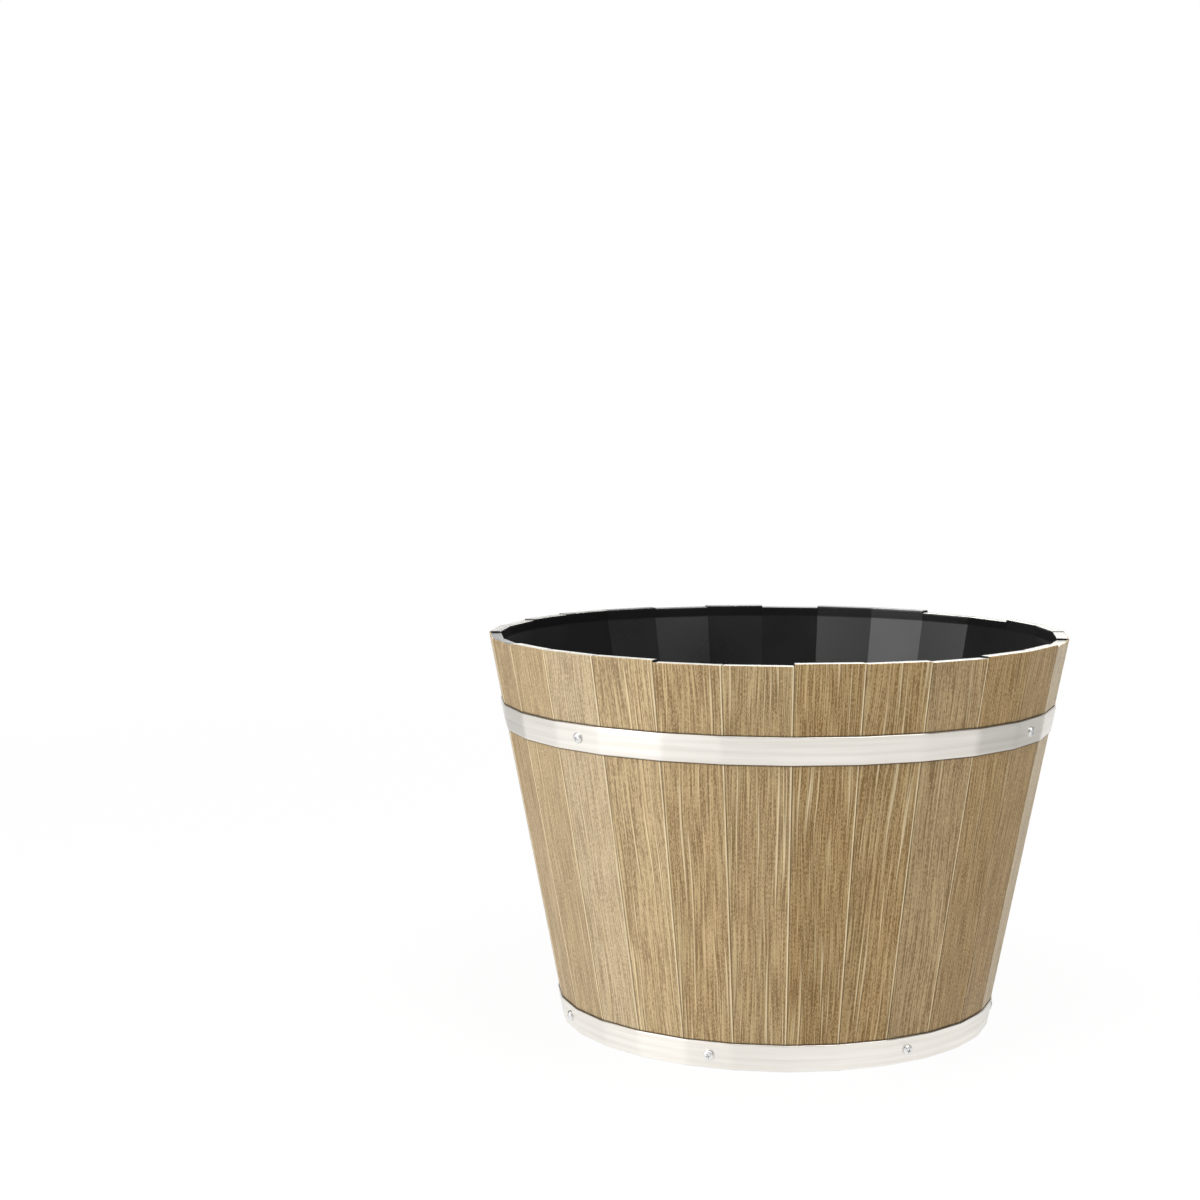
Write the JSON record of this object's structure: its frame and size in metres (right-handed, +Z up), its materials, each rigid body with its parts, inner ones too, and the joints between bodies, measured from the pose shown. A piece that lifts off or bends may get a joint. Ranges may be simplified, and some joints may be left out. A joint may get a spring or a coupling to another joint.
{
  "type": "barrel planter",
  "caption": "Round tapered planter moulded as half a coopered barrel, with flat staves, two screwed-on metal hoops, an open top and a plugged drain hole in the floor.",
  "frame": {"origin": "centre of the foot, on the ground", "axes": "+Z up along the barrel's axis, front towards -Y"},
  "size_m": [0.5196, 0.5198, 0.35],
  "materials": {
    "resin": "black foamed resin, painted outside in brown and cream like weathered oak",
    "hoop_strip": "satin, brushed along the strip",
    "screw": "zinc plated",
    "plug_rubber": "matt moulded rubber"
  },
  "bodies": {
    "barrel": {"barrel_shell": "resin", "upper_hoop": "hoop_strip", "lower_hoop": "hoop_strip", "upper_hoop_screws": "screw", "lower_hoop_screws": "screw"},
    "plug": {"drain_plug": "plug_rubber"}
  },
  "joints": [
    {"name": "plug_lift", "type": "slide", "parent": "barrel", "child": "plug", "axis": [0, 0, 1], "range_m": [0, 0.38]}
  ]
}
